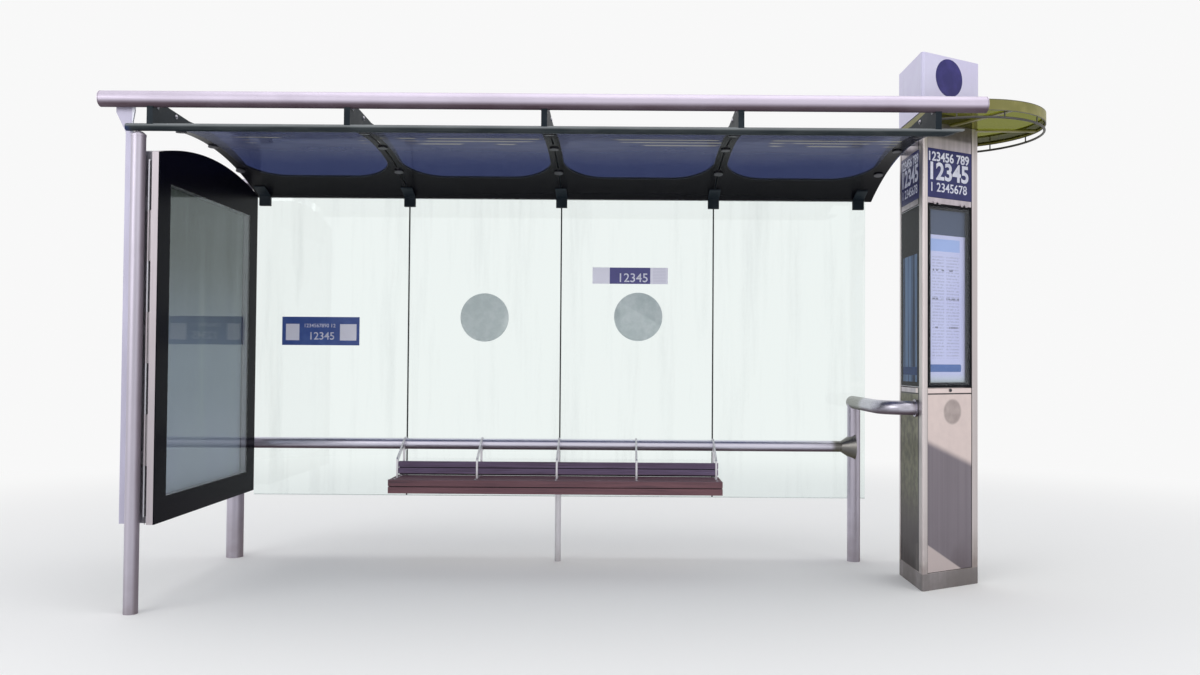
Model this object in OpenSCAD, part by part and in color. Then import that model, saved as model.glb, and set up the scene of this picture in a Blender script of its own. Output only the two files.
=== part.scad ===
// Glass bus shelter: an arched roof of bent glass hung below swept steel arms,
// a glass rear wall behind a rail and a slatted bench, a two-sided display case
// at the left end and a three-sided timetable totem with a crown ring at the right.
// The origin is the foot of the front left post. X runs along the shelter,
// Y from the front beam to the rear wall, Z up.

/* [Grid] */
// Distance between two roof arms, which is one bay
bay = 1080; // [1040:5:1120]
// First roof arm, right of the front left post
first_arm = 65; // [60:1:75]

/* [Front beam] */
// Diameter of the front beam
beam_d = 88.9; // [80:0.1:95]
// Height of its centre line
beam_z = 2810; // [2800:1:2825]
// How far it runs left of the front left post
beam_left = 213; // [180:1:260]
// How far it runs right of the last roof arm
beam_right = 267; // [150:1:300]

/* [Edge rail] */
// Height of the rail that grips the front edge of the roof glass
edge_h = 42; // [38:1:46]
// Depth of its two lips behind the round nose
edge_lip = 28; // [22:1:32]
// How far it runs left of the front left post
edge_left = 69; // [50:1:75]
// How far it runs right of the last roof arm
edge_right = 142; // [100:1:160]
// Length of the slanted cut under its right end
edge_bevel = 110; // [60:1:140]

/* [Roof] */
// Radius of the underside of the roof glass
roof_r = 2650; // [2550:10:2750]
// Height of the glass underside at the crown
crown_z = 2730; // [2720:1:2740]
// Crown behind the front beam
crown_y = 650; // [620:5:680]
// Thickness of all shelter glass
glass_t = 12; // [10:1:13]
// Roof glass left of the first arm
roof_left = 10; // [6:1:14]
// Roof glass right of the last arm
roof_right = 50; // [40:1:60]
// Roof glass behind the rear rail
roof_rear = 80; // [76:1:90]
// Joint between two roof panes
roof_seam = 14; // [13:1:18]

/* [Roof arms] */
// Width of an arm
arm_w = 33; // [28:1:40]
// Depth of an arm behind its deep front end
arm_h = 48; // [40:1:54]
// Deep front end of an arm, back to where it meets the arch
arm_swell = 454; // [400:1:500]
// Gap between glass and arm that the studs bridge
stud_gap = 12; // [10:1:14]
// Diameter of the stud plates
stud_d = 60; // [50:1:66]
// Diameter of the rear header tube
header_d = 76.1; // [70:0.1:80]
// Gap between the roof glass and the header
header_gap = 22; // [18:1:26]

/* [Rear wall] */
// Lower edge of the rear glass
wall_bottom = 430; // [380:5:480]
// Joint between two rear panes
wall_seam = 10; // [6:1:14]
// Diameter of the rear rail
rail_d = 76.1; // [70:0.1:80]
// Height of the rear rail
rail_z = 800; // [790:1:815]
// Gap between the short right post and the glass
wall_gap = 1.6; // [1.5:0.1:5]
// Length of the flare at the rail's right end
flare_l = 46; // [36:1:56]
// Width of a glass clamp
clamp_w = 78; // [70:1:90]

/* [Posts] */
// Diameter of the front left post
front_post_d = 76.1; // [70:0.1:80]
// Diameter of the rear left post
rear_post_d = 114.3; // [108:0.1:118]
// Rear left post, left of the front one
rear_post_x = 45; // [40:1:55]
// Rear end of the display case to the axis of the rear posts
rear_gap = 100; // [90:1:115]
// Diameter of the short right post and the arm rail on it
side_post_d = 88.9; // [80:0.1:95]
// Short right post, left of the last roof arm
side_post_x = 90; // [85:1:110]
// Height of the arm rail
arm_rail_z = 1110; // [1090:1:1130]
// Bend radius of the arm rail
arm_rail_r = 170; // [150:1:180]

/* [Display case] */
// Length of the case, front to back
case_l = 1460; // [1440:5:1465]
// Crown of its arched top
case_crown = 2622; // [2610:1:2625]
// Radius of its arched top
case_r = 2700; // [2500:10:3000]
// Outer face of the case, left of the front left post
case_out = 89; // [86:1:95]
// Inner face of the case, right of the front left post
case_in = 118; // [114:1:124]
// Thickness of a case door with its glass
door_t = 42; // [38:1:44]
// Thickness of the case and totem panes
pane_t = 6; // [5:1:7]
// Width of a poster
poster_w = 1185; // [1150:5:1195]
// Height of a poster
poster_h = 1750; // [1700:5:1760]
// Top of a poster up to the crown of the case
poster_above = 255; // [240:1:280]
// Underside of a poster down to the lower edge of the case
poster_under = 137; // [120:1:150]

/* [Bench] */
// Length of the boards
bench_l = 2220; // [2190:10:2260]
// Height of the seat
seat_z = 590; // [580:1:600]
// Width of a seat board
board_w = 62; // [58:1:66]
// Thickness of a board
board_t = 28; // [25:1:30]
// Gap between two boards
board_gap = 8; // [6:1:9]
// Thickness of the bracket plates
plate_t = 12; // [10:1:15]
// Diameter of the bench leg
leg_d = 42.4; // [38:0.1:48.3]

/* [Totem] */
// Totem's left face, right of the last roof arm
totem_gap = 110; // [105:1:120]
// Centre of the totem behind the front beam
totem_y = 889; // [870:1:905]
// Distance from its centre to a face
totem_a = 146; // [142:1:150]
// Radius of its rounded corners
totem_r = 10; // [8:1:14]
// Width of the slot between two corner stiles
totem_slot = 396; // [380:1:404]
// How much wider the stile is on the right of a face than on its left, halved
slot_shift = 10; // [0:1:12]
// Distance from its centre to the inner column's faces
column_a = 112; // [106:1:114]
// Height of the plinth
plinth_h = 105; // [80:1:130]
// Top of the base panels
base_top = 1200; // [1190:1:1210]
// Top of the middle rails
mid_top = 1235; // [1230:1:1240]
// Underside of the head rails
head_z = 2380; // [2370:1:2390]
// Top of the head rails
head_top = 2415; // [2410:1:2425]
// Top of the sign panels
sign_top = 2720; // [2700:1:2740]
// Top of the steel part of the totem
totem_top = 2940; // [2936:1:2950]
// Height of the cap
cap_h = 365; // [330:1:400]

/* [Crown ring] */
// Outer radius of the ring
ring_r = 530; // [500:5:560]
// Ring centre, right of the totem's centre
ring_dx = 134; // [120:1:146]
// Ring centre, before the totem's centre
ring_dy = 29; // [20:1:35]
// Height of the ring's band
ring_h = 67; // [50:1:70]
// Top of the ring's band
ring_top = 2934; // [2930:1:2936]
// Diameter of the hoop below the band
hoop_d = 14; // [10:1:15]
// Number of spacers between hoop and band
spacers = 8; // [6:1:10]

/* [Hidden] */
$fn = 96;
bays = 4;
// Clearance between pieces that are fitted together
fit = 0.3;
// Clearance around moving pieces
swing = 5;
beam_r = beam_d / 2;
header_r = header_d / 2;
rail_r = rail_d / 2;
post_r = front_post_d / 2;
rear_r = rear_post_d / 2;
side_r = side_post_d / 2;
// Front beam back to the rear rail
depth = case_l + rear_gap;
last_arm = first_arm + bays * bay;
mid_x = first_arm + bays * bay / 2;

// Centre of the roof's arc, and the height of a concentric arc of radius r
arc_z = crown_z - roof_r;
function roof_z(y, r = roof_r) = arc_z + sqrt(r * r - (y - crown_y) * (y - crown_y));
function grid(i) = first_arm + i * bay;
function slope(y) = asin((crown_y - y) / roof_r);

arm_r = roof_r + glass_t + stud_gap;
arm_front = -16;
edge_r = edge_h / 2;
edge_z = roof_z(0) + glass_t / 2;
header_y = depth + 40;
header_z = roof_z(header_y, roof_r + glass_t) + header_gap + header_r;
roof_end = depth + roof_rear;
wall_y = depth + side_r + wall_gap;
wall_top = roof_z(wall_y + glass_t) - 10;
// The studs stand inside the end panes' edges and in the joints between panes
stud_x = [grid(0) + 10, grid(1), grid(2), grid(3), grid(4)];
stud_first = 350;
stud_step = 450;
stud_y = [for (k = [0:2]) stud_first + k * stud_step];
stud_rod = 10;
stud_plate = 8;
clamp_x = [grid(0) + 50, grid(1), grid(2), grid(3), grid(4) - 50];
clamp_t = 8;
clamp_bolt = 10;
clamp_reach = 120;
clamp_drop = 60;
fix_d = 44;
// The flare ends inside the post, where it would be this much wider than the rail
flare_out = 60;

side_x = last_arm - side_post_x;
totem_left = last_arm + totem_gap;
totem_x = totem_left + totem_a;
arm_rail_y = totem_y - 119;

// The case's core lies between its outer pane and its door, behind a recess for the post
core_y = 46;
core_out = -case_out + pane_t;
core_in = case_in - door_t - swing;
core_inset = 2;
poster_t = 3;
poster_y = (case_l - poster_w) / 2;
poster_z = case_crown - poster_above - poster_h;
case_bottom = poster_z - poster_under;
hinge_x = case_in - door_t - 18;
hinge_y = 10;
knuckle_r = 7;
knuckle_pin = 3;
knuckles = 7;
// The hinge ends below the arch, and the case hangs on brackets at three heights
knuckle_z0 = case_bottom + 40;
knuckle_l = (case_crown - 142 - knuckle_z0) / knuckles;
bracket_h = 80;
bracket_low = case_bottom + 4 * bracket_h;
bracket_top = case_crown - 422;
upright_t = 12;
upright_w = 38;

// The bench hangs from the rail by plates that wrap around its boards
bench_deep = 364;
bench_web_gap = 55;
bench_back_gap = 26;
bench_drop = 68;
bench_front = depth - bench_deep;
bench_web = depth - bench_web_gap;
bench_back = depth - bench_back_gap;
bench_under = seat_z - bench_drop;
plate_x = [for (i = [-2:2]) mid_x + i * bay / 2];
leg_y = bench_web - 20;

// Between column and face there is one layer of panels
layer = 2;
panel_gap = 1.5;
door_z0 = mid_top + swing;
door_z1 = head_z - swing;
door_w = totem_slot - 2 * swing;
door_depth = 20;
door_edge = 14;
door_rim = 30;
pivot_r = 4.5;
pivot_pin = 2;
pivot_l = 60;
pivot_leaf = 12;
pivot_y = totem_a - layer + pivot_r + 0.7;
pivot_z = head_z - swing / 2;
pivot_x = [-120, 120];

ring_x = totem_x + ring_dx;
ring_y = totem_y - ring_dy;
ring_t = 6;
ring_glass_t = 10;
bar_t = 8;
bar_w = 30;
bar_up = 4;
hoop_z = ring_top - ring_h - 30 - hoop_d / 2;

// Turns a profile drawn in Y and Z into a bar that runs from x0 to x1
module along_x(x0, x1) {
    translate([x0, 0, 0]) rotate([90, 0, 90]) linear_extrude(x1 - x0) children();
}

// A tube or rod that runs from x0 to x1
module tube_x(x0, x1, y, z, r) {
    translate([x0, y, z]) rotate([0, 90, 0]) cylinder(h = x1 - x0, r = r);
}

// Puts its children on the roof's arc, upright to the glass
module on_roof(x, y) {
    translate([x, crown_y, arc_z]) rotate([slope(y), 0, 0]) children();
}

// The band between two radii of the roof's arc, from y0 to y1
module roof_band(r0, r1, y0, y1) {
    intersection() {
        translate([crown_y, arc_z]) difference() {
            circle(r1, $fn = 360);
            circle(r0, $fn = 360);
        }
        translate([y0, crown_z - 600]) square([y1 - y0, 900]);
    }
}

module front_beam() {
    color("silver") tube_x(-beam_left, last_arm + beam_right, 0, beam_z, beam_r);
}

// Nose and lips of the edge rail, grown all round by extra
module edge_outline(extra = 0) {
    translate([0, edge_z]) rotate(slope(0)) {
        circle(edge_r + extra);
        translate([0, -edge_r - extra]) square([edge_lip + extra, edge_h + 2 * extra]);
    }
}

module edge_rail() {
    x1 = last_arm + edge_right;
    color("slategray") difference() {
        along_x(-edge_left, x1) difference() {
            edge_outline();
            roof_band(roof_r - fit, roof_r + glass_t + fit, -4, 2 * edge_h);
        }
        translate([0, 2 * edge_h, 0]) rotate([90, 0, 0]) linear_extrude(4 * edge_h)
            polygon([[x1 - edge_bevel, edge_z - edge_h], [x1 + 1, edge_z - edge_h],
                [x1 + 1, edge_z + edge_r / 2], [x1 - edge_bevel, edge_z - edge_r]]);
    }
}

// A swept arm: deep where it carries the beam, slim over the arch, notched at the header
module roof_arm(i) {
    x0 = grid(i) - arm_w / 2;
    x1 = grid(i) + arm_w / 2;
    color("dimgray") difference() {
        union() {
            along_x(x0, x1) intersection() {
                translate([crown_y, arc_z]) circle(arm_r + arm_h, $fn = 360);
                translate([arm_front, header_z - 2 * header_d]) square([header_y - arm_front, crown_z]);
            }
            along_x(x0, x1) polygon([[arm_front, edge_z], [arm_front, beam_z], [beam_r, beam_z + 2],
                [arm_swell, roof_z(arm_swell, arm_r + arm_h) - 1], [arm_swell, edge_z]]);
        }
        along_x(x0 - 1, x1 + 1) {
            translate([crown_y, arc_z]) circle(arm_r, $fn = 360);
            translate([0, beam_z]) circle(beam_r + fit);
            translate([header_y, header_z]) circle(header_r + fit);
            edge_outline(fit);
        }
    }
}

module roof_arm_1() { roof_arm(0); }
module roof_arm_2() { roof_arm(1); }
module roof_arm_3() { roof_arm(2); }
module roof_arm_4() { roof_arm(3); }
module roof_arm_5() { roof_arm(4); }

// Rods of the clamps, through both panes: two in the roof glass and two in the rear glass
module clamp_rods(r) {
    for (x = clamp_x, s = [-1, 1]) {
        on_roof(x + s * clamp_w / 4, wall_y - clamp_reach / 2)
            translate([0, 0, roof_r - clamp_t]) cylinder(h = glass_t + 2 * clamp_t, r = r);
        translate([x + s * clamp_w / 4, wall_y - clamp_t, wall_top - clamp_drop / 2])
            rotate([-90, 0, 0]) cylinder(h = glass_t + 2 * clamp_t, r = r);
    }
}

// One bent pane of the roof, from x0 to x1
module roof_pane(x0, x1) {
    color("lightblue", 0.5) difference() {
        along_x(x0, x1) roof_band(roof_r, roof_r + glass_t, 0, roof_end);
        for (x = stud_x, y = stud_y)
            on_roof(x, y) translate([0, 0, roof_r - 20]) cylinder(h = 60, r = stud_rod / 2 + 1.5);
        clamp_rods(clamp_bolt / 2 + 1);
    }
}

module roof_glass_1() { roof_pane(grid(0) - roof_left, grid(1) - roof_seam / 2); }
module roof_glass_2() { roof_pane(grid(1) + roof_seam / 2, grid(2) - roof_seam / 2); }
module roof_glass_3() { roof_pane(grid(2) + roof_seam / 2, grid(3) - roof_seam / 2); }
module roof_glass_4() { roof_pane(grid(3) + roof_seam / 2, grid(4) + roof_right); }

// Points where the rear glass is held to the rail, two on each pane
function fix_x() = [for (i = [0:bays - 1], s = [0.25, 0.75]) grid(i) + s * bay];

// A stud of the roof glass is a plate below it, a rod through it and a boss up to the arm.
// A stud of the rear glass is a spacer on the rail, a rod and a disc behind the glass.
module glass_studs() {
    color("gray") for (x = stud_x, y = stud_y) on_roof(x, y) {
        translate([0, 0, roof_r - fit - stud_plate]) cylinder(h = stud_plate, r = stud_d / 2);
        translate([0, 0, roof_r - fit - 1]) cylinder(h = glass_t + 2 * fit + 2, r = stud_rod / 2);
        translate([0, 0, roof_r + glass_t + fit]) cylinder(h = stud_gap - 2 * fit, r = arm_w / 2);
    }
    color("silver") for (x = fix_x()) translate([x, 0, rail_z]) {
        difference() {
            translate([0, depth, 0]) rotate([-90, 0, 0])
                cylinder(h = wall_y - fit - depth, r = fix_d / 2);
            tube_x(-fix_d, fix_d, depth, 0, rail_r + fit);
        }
        translate([0, wall_y - 2, 0]) rotate([-90, 0, 0]) cylinder(h = glass_t + 4, r = stud_rod / 2);
        translate([0, wall_y + glass_t + fit, 0]) rotate([-90, 0, 0]) cylinder(h = 6, r = fix_d / 2);
    }
}

module rear_header() {
    color("gray") tube_x(-rear_post_x - rear_r, last_arm + 60, header_y, header_z, header_r);
}

module rear_pane(x0, x1) {
    color("lightcyan", 0.4) difference() {
        translate([x0, wall_y, wall_bottom]) cube([x1 - x0, glass_t, wall_top - wall_bottom]);
        clamp_rods(clamp_bolt / 2 + 1);
        for (x = fix_x()) translate([x, wall_y - 1, rail_z]) rotate([-90, 0, 0])
            cylinder(h = glass_t + 2, r = clamp_bolt / 2 + 1);
    }
}

module rear_glass_1() { rear_pane(grid(0), grid(1) - wall_seam / 2); }
module rear_glass_2() { rear_pane(grid(1) + wall_seam / 2, grid(2) - wall_seam / 2); }
module rear_glass_3() { rear_pane(grid(2) + wall_seam / 2, grid(3) - wall_seam / 2); }
module rear_glass_4() { rear_pane(grid(3) + wall_seam / 2, grid(4)); }

// A clamp holds the rear panes to the roof panes with plates on both sides of the glass
module glass_clamps() {
    t = clamp_t - fit;
    color("dimgray") {
        for (x = clamp_x) {
            along_x(x - clamp_w / 2, x + clamp_w / 2) {
                roof_band(roof_r - fit - t, roof_r - fit, wall_y - clamp_reach, wall_y - fit);
                translate([wall_y - fit - t, wall_top - clamp_drop])
                    square([t, roof_z(wall_y) - fit - t / 2 - wall_top + clamp_drop]);
                roof_band(roof_r + glass_t + fit, roof_r + glass_t + fit + t,
                    wall_y - clamp_reach, wall_y - clamp_reach + 80);
                translate([wall_y + glass_t + fit, wall_top - clamp_drop]) square([t, clamp_drop]);
            }
        }
        clamp_rods(clamp_bolt / 2);
    }
}

// The rear rail runs from post to post. It flares where it meets the short right post,
// and the flare is cut flat along the back of that post.
module rear_rail() {
    color("silver") difference() {
        union() {
            tube_x(-rear_post_x, side_x, depth, rail_z, rail_r);
            translate([side_x - side_r - flare_l, depth, rail_z]) rotate([0, 90, 0])
                cylinder(h = flare_l + side_r, r1 = rail_r + 1, r2 = rail_r + flare_out);
        }
        translate([-rear_post_x, depth, 0]) cylinder(h = 2 * rail_z, r = rear_r + fit);
        translate([side_x, depth, 0]) cylinder(h = 2 * rail_z, r = side_r + fit);
        translate([side_x - 2 * flare_l, depth + side_r, 0]) cube([4 * flare_l, 2 * flare_out, 2 * rail_z]);
    }
}

// The post ends in a low dome under the edge rail
module front_left_post() {
    rim = 12;
    dome = 20;
    top = edge_z - edge_r - fit;
    ball = (post_r * post_r + dome * dome) / (2 * dome);
    color("silver") {
        cylinder(h = top - dome - rim, r = post_r);
        translate([0, 0, top - dome - rim]) cylinder(h = rim, r = post_r + 1.5);
        intersection() {
            translate([0, 0, top - ball]) sphere(r = ball);
            translate([0, 0, top - dome]) cylinder(h = dome + 1, r = post_r);
        }
    }
}

module rear_left_post() {
    color("silver") difference() {
        translate([-rear_post_x, depth, 0]) cylinder(h = header_z, r = rear_r);
        tube_x(-rear_post_x - 2 * rear_r, 2 * rear_r, header_y, header_z, header_r + fit);
    }
}

module right_post() {
    color("silver") difference() {
        translate([side_x, depth, 0]) cylinder(h = arm_rail_z, r = side_r);
        translate([side_x, depth, arm_rail_z]) rotate([90, 0, 0])
            cylinder(h = 4 * side_r, r = side_r + fit, center = true);
    }
}

// The arm rail lies on the short post, runs forward and bends towards the totem
module arm_rail() {
    y1 = arm_rail_y + arm_rail_r;
    flange = totem_left - 9;
    color("silver") {
        translate([side_x, depth + side_r, arm_rail_z]) rotate([90, 0, 0])
            cylinder(h = depth + side_r - y1, r = side_r);
        translate([side_x + arm_rail_r, y1, arm_rail_z]) rotate([0, 0, 180])
            rotate_extrude(angle = 90) translate([arm_rail_r, 0]) circle(side_r);
        tube_x(side_x + arm_rail_r, flange, arm_rail_y, arm_rail_z, side_r);
        tube_x(flange, totem_left + layer, arm_rail_y, arm_rail_z, side_r + 10);
    }
}

// Side view of the case, cut back by inset at every edge, from y0 on
module case_outline(inset = 0, y0 = 0) {
    intersection() {
        translate([y0 + inset, case_bottom + inset])
            square([case_l - y0 - 2 * inset, case_crown - case_bottom]);
        translate([case_l / 2, case_crown - case_r]) circle(case_r - inset, $fn = 360);
    }
}

// Place of a poster, cut back by inset at every edge
module poster_outline(inset = 0) {
    translate([poster_y + inset, poster_z + inset])
        square([poster_w - 2 * inset, poster_h - 2 * inset]);
}

// The core is the closed back of both displays, with a shallow recess for each sheet
module case_core() {
    color("silver") difference() {
        along_x(core_out, core_in) case_outline(core_inset, core_y - core_inset);
        along_x(core_out - 1, core_out + poster_t) poster_outline(-fit);
        along_x(core_in - poster_t, core_in + 1) poster_outline(-fit);
    }
}

// Light upright at the outer front corner, flared where it meets the beam
module case_upright() {
    x0 = -case_out;
    x1 = x0 + upright_w;
    flare = 54;
    top = beam_z - 5;
    color("lightsteelblue") difference() {
        translate([0, core_y, 0]) rotate([90, 0, 0]) linear_extrude(upright_t)
            polygon([[x0, case_bottom], [x1, case_bottom], [x1, edge_z + edge_h], [x1 + 10, top - 50],
                [x1 + 10, top], [x0 - flare, top], [x0 - flare, top - 60], [x0, edge_z - edge_r]]);
        tube_x(x0 - 2 * flare, x1 + 50, 0, beam_z, beam_r + fit);
    }
}

module case_outer_glass() {
    color("black", 0.6) along_x(-case_out, core_out) case_outline(0, core_y);
}

// One knuckle of the long hinge: every second one belongs to the door
module case_knuckle(k) {
    translate([hinge_x, hinge_y, knuckle_z0 + k * knuckle_l + 0.5])
        cylinder(h = knuckle_l - 1, r = knuckle_r);
}

module case_door() {
    back = case_in - door_t;
    leaf = 5;
    color("black") difference() {
        union() {
            difference() {
                along_x(back, case_in - pane_t) case_outline();
                along_x(back - 1, case_in) poster_outline();
            }
            for (k = [1:2:knuckles - 2]) {
                case_knuckle(k);
                translate([hinge_x, hinge_y - leaf, knuckle_z0 + k * knuckle_l + 0.5])
                    cube([back - hinge_x + 1, leaf, knuckle_l - 1]);
            }
        }
        translate([hinge_x, hinge_y, case_bottom]) cylinder(h = case_crown - case_bottom, r = knuckle_pin + fit);
    }
}

module case_door_glass() {
    color("black", 0.6) along_x(case_in - pane_t, case_in) case_outline();
}

module case_hinge() {
    leaf = 5;
    color("silver") {
        for (k = [0:2:knuckles - 1]) {
            case_knuckle(k);
            translate([hinge_x - leaf, hinge_y, knuckle_z0 + k * knuckle_l + 0.5])
                cube([leaf, core_y - hinge_y, knuckle_l - 1]);
        }
        translate([hinge_x, hinge_y, knuckle_z0 + 1])
            cylinder(h = knuckles * knuckle_l - 2, r = knuckle_pin);
    }
}

// The printed sheets behind the glass of the case and of the totem
module notice_sheets() {
    color("lightgray") {
        along_x(core_out, core_out + poster_t) poster_outline();
        along_x(core_in - poster_t, core_in) poster_outline();
    }
    color("lavender") for (t = [front_face, left_face]) on_face(t)
        translate([-totem_slot / 2 + 8, -column_a - fit - 4, mid_top + 10])
            cube([totem_slot - 16, 4, head_z - mid_top - 20]);
}

// Blocks that carry the case on its two posts
module case_brackets() {
    color("gray") difference() {
        for (z = [bracket_low, (bracket_low + bracket_top) / 2, bracket_top]) {
            translate([-30, 20, z]) cube([60, core_y - 20, bracket_h]);
            translate([core_out + 10, case_l - core_inset, z]) cube([60, rear_gap, bracket_h]);
        }
        cylinder(h = beam_z, r = post_r + fit);
        translate([-rear_post_x, depth, 0]) cylinder(h = beam_z, r = rear_r + fit);
    }
}

// One bracket plate: an open shape that hooks on the rail and wraps around the seat boards
module bracket_profile() {
    boards_end = bench_front + 4 * board_w + 3 * board_gap + 2;
    nose = bench_front + 104;
    under = seat_z - board_t;
    difference() {
        union() {
            polygon([[bench_front, bench_under - 20], [bench_front, under], [boards_end, under],
                [boards_end, seat_z + fit], [nose, seat_z + fit], [nose, rail_z - 84],
                [nose + 12, rail_z - 74], [depth - 30, rail_z + 42], [depth, rail_z],
                [bench_back, rail_z - 40], [bench_back, bench_under], [leg_y - 60, bench_under],
                [bench_front + 40, bench_under - 20]]);
            translate([depth, rail_z]) circle(rail_r + 10);
        }
        polygon([[nose + 20, seat_z], [nose + 20, rail_z - 98], [bench_web, rail_z - 6],
            [bench_web, seat_z]]);
        translate([depth, rail_z]) circle(rail_r + fit);
        translate([wall_y - fit, rail_z - rail_d]) square([rail_d, 2 * rail_d]);
    }
}

// Five plates and the leg under the middle one
module bench_frame() {
    color("silver") {
        for (x = plate_x) along_x(x - plate_t / 2, x + plate_t / 2) bracket_profile();
        translate([mid_x, leg_y, 0]) cylinder(h = bench_under - 8, r = leg_d / 2);
        translate([mid_x, leg_y, bench_under - 8]) cylinder(h = 8, r = leg_d);
    }
}

module board(y, z, w, t) {
    translate([mid_x - bench_l / 2, y, z]) cube([bench_l, w, t]);
}

// Four boards make the seat, two on edge close its front and two stand behind it
module bench_boards() {
    front_h = 42;
    back_h = 38;
    color("rosybrown") {
        for (k = [0:3])
            board(bench_front + 1 + k * (board_w + board_gap), seat_z - board_t, board_w, board_t);
        for (k = [0, 1])
            board(bench_front - board_t, bench_under - 20 + k * (front_h + 6), board_t, front_h);
        for (k = [0, 1])
            board(bench_web - board_t, seat_z + 10 + k * (back_h + 7), board_t, back_h);
    }
}

// A triangle with rounded corners about the totem's centre, one corner to the right.
// Its flats lie a hair inside the corner circles, so that they cut them and aren't tangent.
module triangle(a, r) {
    reach = 2 * (a - r);
    flat = r - 0.01;
    for (t = [0, 120, 240]) translate(reach * [cos(t), sin(t)]) circle(r);
    polygon([for (t = [0, 120, 240], d = [-60, 60])
        [reach * cos(t) + flat * cos(t + d), reach * sin(t) + flat * sin(t + d)]]);
}

// Puts its children in the slot of one face of the totem, which looks along their -Y
module on_face(turn) {
    translate([totem_x, totem_y, 0]) rotate(turn) translate([-slot_shift, 0, 0]) children();
}
front_face = 30;
left_face = -90;
rear_face = 150;

// A flat cassette between column and face, with an open joint above and below
module cassette(z0, z1) {
    w = totem_slot - 2 * fit;
    translate([-w / 2, layer - totem_a, z0 + panel_gap / 2])
        cube([w, totem_a - layer - column_a - fit, z1 - z0 - panel_gap]);
}

// The column and the plinth it stands on
module totem_column() {
    color("gray") translate([totem_x, totem_y, 0]) {
        linear_extrude(plinth_h) triangle(totem_a, totem_r);
        linear_extrude(totem_top) triangle(column_a, 4);
    }
}

// Rounded corner stiles, open to both sides of each corner
module totem_stiles() {
    color("silver") translate([totem_x, totem_y, plinth_h]) linear_extrude(totem_top - plinth_h)
        difference() {
            triangle(totem_a, totem_r);
            triangle(column_a, 4);
            for (t = [front_face, left_face, rear_face]) rotate(t)
                translate([-slot_shift - totem_slot / 2, -2 * totem_a])
                    square([totem_slot, 2 * totem_a - column_a + 4]);
        }
}

// Steel cassettes, and the fixed knuckles of the display door's hinge on the head one
module totem_panels() {
    color("silver") {
        for (t = [front_face, left_face, rear_face]) on_face(t) cassette(plinth_h, base_top);
        for (t = [front_face, left_face]) on_face(t) {
            cassette(base_top, mid_top);
            cassette(head_z - panel_gap / 2, head_top);
            cassette(sign_top, totem_top);
        }
        on_face(rear_face) cassette(base_top, totem_top);
        on_face(front_face) for (x = pivot_x) translate([x, 0, 0]) {
            for (s = [0, 2]) {
                pivot_knuckle(s);
                pivot_flap(s, pivot_z);
            }
            pivot_rod(pivot_pin, pivot_l - 2);
        }
    }
}

// A rod on the axis of the display door's hinge
module pivot_rod(r, l) {
    translate([-l / 2, -pivot_y, pivot_z]) rotate([0, 90, 0]) cylinder(h = l, r = r);
}

// One of the three knuckles of a hinge, and the flap that ties it to what is above or below
module pivot_knuckle(s) {
    translate([(s - 1) * pivot_l / 3, 0, 0]) pivot_rod(pivot_r, pivot_l / 3 - 1);
}

module pivot_flap(s, z) {
    translate([(s - 1.5) * pivot_l / 3 + 0.5, -pivot_y, z])
        cube([pivot_l / 3 - 1, pivot_y - totem_a + layer + 1, pivot_leaf]);
}

// Frame of a display, w wide, with a rebate for its pane and an opening
module display_frame(w) {
    h = door_z1 - door_z0;
    translate([-w / 2, layer - totem_a, door_z0]) difference() {
        cube([w, door_depth, h]);
        translate([door_edge, -1, door_edge]) cube([w - 2 * door_edge, pane_t + 1, h - 2 * door_edge]);
        translate([door_rim, 0, door_rim]) cube([w - 2 * door_rim, door_depth + 1, h - 2 * door_rim]);
    }
}

module display_pane(w) {
    e = door_edge + fit;
    translate([e - w / 2, layer - totem_a, door_z0 + e])
        cube([w - 2 * e, pane_t, door_z1 - door_z0 - 2 * e]);
}

module totem_door() {
    color("black") on_face(front_face) difference() {
        union() {
            display_frame(door_w);
            for (x = pivot_x) translate([x, 0, 0]) {
                pivot_knuckle(1);
                difference() {
                    pivot_flap(1, pivot_z - pivot_leaf);
                    translate([-pivot_l / 2, layer - totem_a, door_z1]) cube([pivot_l, pivot_l, pivot_l]);
                }
            }
        }
        for (x = pivot_x) translate([x, 0, 0]) pivot_rod(pivot_pin + fit, pivot_l);
    }
}

module totem_door_glass() {
    color("lightblue", 0.4) on_face(front_face) display_pane(door_w);
}

// The display of the left face is fixed, with its pane sealed into its frame
module totem_side_display() {
    w = totem_slot - 2 * fit;
    color("black") on_face(left_face) {
        display_frame(w);
        display_pane(w + 2 * fit);
    }
}

module totem_signs() {
    color("navy") for (t = [front_face, left_face]) on_face(t) cassette(head_top, sign_top);
}

module totem_cap() {
    color("white") translate([totem_x, totem_y, totem_top]) linear_extrude(cap_h)
        triangle(totem_a + swing, totem_r + swing);
}

// Spacers that hold the last roof arm to the totem
module totem_brackets() {
    x0 = last_arm + arm_w / 2;
    color("gray") for (y = [totem_y - 100, totem_y + 100]) {
        z = roof_z(y, arm_r + arm_h / 2);
        tube_x(x0, totem_left + layer, y, z, arm_h / 2 - 4);
    }
}

// Plan of the ring, cut back by inset, with a flat side along the totem's left face
module ring_plan(inset = 0) {
    intersection() {
        translate([ring_x, ring_y]) circle(ring_r - inset, $fn = 180);
        translate([totem_left - fit - ring_t + inset, ring_y - ring_r]) square(2 * ring_r);
    }
}

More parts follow.
